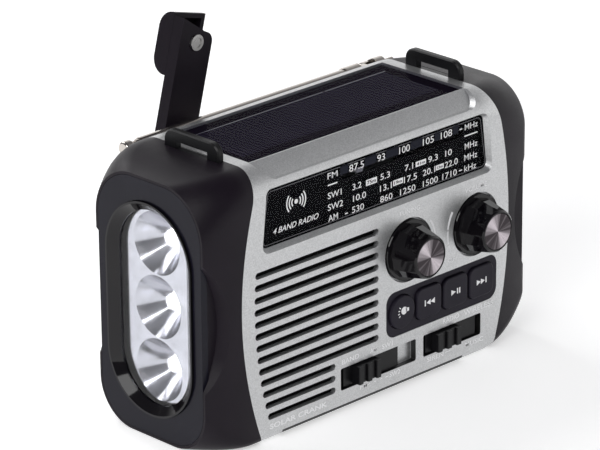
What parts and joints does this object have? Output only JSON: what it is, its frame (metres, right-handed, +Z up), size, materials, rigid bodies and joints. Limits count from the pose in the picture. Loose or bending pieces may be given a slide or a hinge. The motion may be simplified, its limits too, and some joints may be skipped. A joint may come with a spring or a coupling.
{
  "type": "emergency radio",
  "caption": "Portable emergency radio with hand crank, solar panel, end lamp, analogue dial, knobs, keys, slide switches, speaker grille and folding telescopic antenna.",
  "frame": {"origin": "on the resting plane, under the middle of the case", "axes": "+X along the case towards the antenna hinge, lamp at -X; control face towards -Y; +Z up"},
  "size_m": [0.173, 0.0933, 0.1431],
  "materials": {
    "silver_case": "silver metallic paint, satin",
    "soft_black": "soft-touch paint",
    "satin_black": "satin",
    "bezel_black": "satin blue-black",
    "gloss_black": "polished",
    "clear": "clear",
    "clear_cover": "clear, polished",
    "chrome": "vacuum-plated",
    "led": "frosted dome",
    "solar": "silicon under resin",
    "dial_black": "printed",
    "pointer": "white",
    "cord": "braided nylon",
    "steel": "plated",
    "paper": "pressed paper",
    "ferrite": "sintered",
    "spun_metal": "spun radial",
    "nylon": "natural",
    "key_rubber": "matte",
    "rubber": "matte",
    "board": "solder resist",
    "battery_wrap": "shrink wrap",
    "brass": "machined",
    "antenna_chrome": "polished"
  },
  "bodies": {
    "case": {"back_shell": "silver_case", "base_strips": "satin_black", "battery_pack": "battery_wrap", "case_screws": "steel", "dial_cord": "cord", "dial_scale": "dial_black", "dial_window": "clear_cover", "dynamo": "steel", "front_shell": "silver_case", "gear_frame": "steel", "key_panel": "key_rubber", "key_switches": "satin_black", "lamp_bezel": "bezel_black", "lamp_leds": "led", "lamp_lens": "clear", "lamp_reflector": "chrome", "lamp_ring": "gloss_black", "left_end_cap": "soft_black", "left_strap_loop": "satin_black", "main_board": "board", "port_sockets": "steel", "right_end_cap": "soft_black", "right_strap_loop": "satin_black", "rubber_feet": "rubber", "slide_switches": "steel", "solar_cell": "solar", "solar_cover": "clear_cover", "speaker_basket": "steel", "speaker_cone": "paper", "speaker_magnet": "ferrite", "tuning_capacitor": "nylon", "volume_control": "steel"},
    "tuning": {"tuning_knob": "gloss_black", "tuning_knob_disc": "spun_metal", "tuning_drum": "nylon"},
    "pointer": {"dial_pointer": "pointer"},
    "volume": {"volume_knob": "gloss_black", "volume_knob_disc": "spun_metal", "volume_shaft": "steel"},
    "lamp_key": {"lamp_key": "key_rubber"},
    "previous_key": {"previous_key": "key_rubber"},
    "play_key": {"play_key": "key_rubber"},
    "next_key": {"next_key": "key_rubber"},
    "band_slider": {"band_slider": "satin_black"},
    "mode_slider": {"mode_slider": "satin_black"},
    "battery_door": {"battery_door": "silver_case"},
    "crank": {"crank_axle": "steel", "crank_gear": "nylon", "crank_arm": "soft_black", "grip_pin": "steel"},
    "grip": {"crank_grip": "soft_black"},
    "idler": {"idler_gear": "nylon"},
    "dynamo_rotor": {"dynamo_pinion": "brass"},
    "antenna_foot": {"antenna_foot": "antenna_chrome"},
    "antenna_base": {"antenna_base_tube": "antenna_chrome"},
    "antenna_mid_1": {"antenna_tube_1": "antenna_chrome"},
    "antenna_mid_2": {"antenna_tube_2": "antenna_chrome"},
    "antenna_tip": {"antenna_tip": "antenna_chrome"},
    "port_cover": {"port_cover": "rubber"}
  },
  "joints": [
    {"name": "tuning_turn", "type": "hinge", "parent": "case", "child": "tuning", "pos_m": [0.015, -0.035, 0.0551], "axis": [0, 1, 0], "range_deg": [-22, 154]},
    {"name": "pointer_slide", "type": "slide", "parent": "case", "child": "pointer", "axis": [1, 0, 0], "range_m": [-0.0077, 0.0532]},
    {"name": "volume_turn", "type": "hinge", "parent": "case", "child": "volume", "pos_m": [0.052, -0.035, 0.0551], "axis": [0, 1, 0], "range_deg": [0, 300]},
    {"name": "lamp_key_press", "type": "slide", "parent": "case", "child": "lamp_key", "axis": [0, 1, 0], "range_m": [0, 0.0008], "stiffness_N_per_m": 600},
    {"name": "previous_key_press", "type": "slide", "parent": "case", "child": "previous_key", "axis": [0, 1, 0], "range_m": [0, 0.0008], "stiffness_N_per_m": 600},
    {"name": "play_key_press", "type": "slide", "parent": "case", "child": "play_key", "axis": [0, 1, 0], "range_m": [0, 0.0008], "stiffness_N_per_m": 600},
    {"name": "next_key_press", "type": "slide", "parent": "case", "child": "next_key", "axis": [0, 1, 0], "range_m": [0, 0.0008], "stiffness_N_per_m": 600},
    {"name": "band_slide", "type": "slide", "parent": "case", "child": "band_slider", "axis": [1, 0, 0], "range_m": [0, 0.0082]},
    {"name": "mode_slide", "type": "slide", "parent": "case", "child": "mode_slider", "axis": [1, 0, 0], "range_m": [-0.0018, 0.0018]},
    {"name": "battery_door_slide", "type": "slide", "parent": "case", "child": "battery_door", "axis": [0, 0, -1], "range_m": [0, 0.01]},
    {"name": "crank_spin", "type": "hinge", "parent": "case", "child": "crank", "pos_m": [-0.043, 0.036, 0.0744], "axis": [0, 1, 0], "continuous": true},
    {"name": "idler_spin", "type": "hinge", "parent": "case", "child": "idler", "pos_m": [-0.02757, 0.018, 0.05601], "axis": [0, 1, 0], "continuous": true},
    {"name": "dynamo_spin", "type": "hinge", "parent": "case", "child": "dynamo_rotor", "pos_m": [-0.03757, 0.014, 0.03869], "axis": [0, 1, 0], "continuous": true},
    {"name": "grip_spin", "type": "hinge", "parent": "crank", "child": "grip", "pos_m": [-0.02793, 0.045, 0.13144], "axis": [0, 1, 0], "continuous": true},
    {"name": "antenna_turn", "type": "hinge", "parent": "case", "child": "antenna_foot", "pos_m": [0.056, 0.03, 0.1016], "axis": [-1, 0, 0], "range_deg": [0, 90]},
    {"name": "antenna_tilt", "type": "hinge", "parent": "antenna_foot", "child": "antenna_base", "pos_m": [0.056, 0.03, 0.1016], "axis": [0, 1, 0], "range_deg": [0, 90]},
    {"name": "antenna_slide_1", "type": "slide", "parent": "antenna_base", "child": "antenna_mid_1", "axis": [-1, 0, 0], "range_m": [0, 0.095]},
    {"name": "antenna_slide_2", "type": "slide", "parent": "antenna_mid_1", "child": "antenna_mid_2", "axis": [-1, 0, 0], "range_m": [0, 0.095]},
    {"name": "antenna_slide_3", "type": "slide", "parent": "antenna_mid_2", "child": "antenna_tip", "axis": [-1, 0, 0], "range_m": [0, 0.095]},
    {"name": "port_cover_swing", "type": "hinge", "parent": "case", "child": "port_cover", "pos_m": [0.0595, 0.033, 0.078], "axis": [0, 0, -1], "range_deg": [0, 110]}
  ],
  "couplings": [
    {"joint": "pointer_slide", "follows": "tuning_turn", "m_per_rad": 0.01975},
    {"joint": "idler_spin", "follows": "crank_spin", "ratio": -4},
    {"joint": "dynamo_spin", "follows": "crank_spin", "ratio": 16}
  ]
}
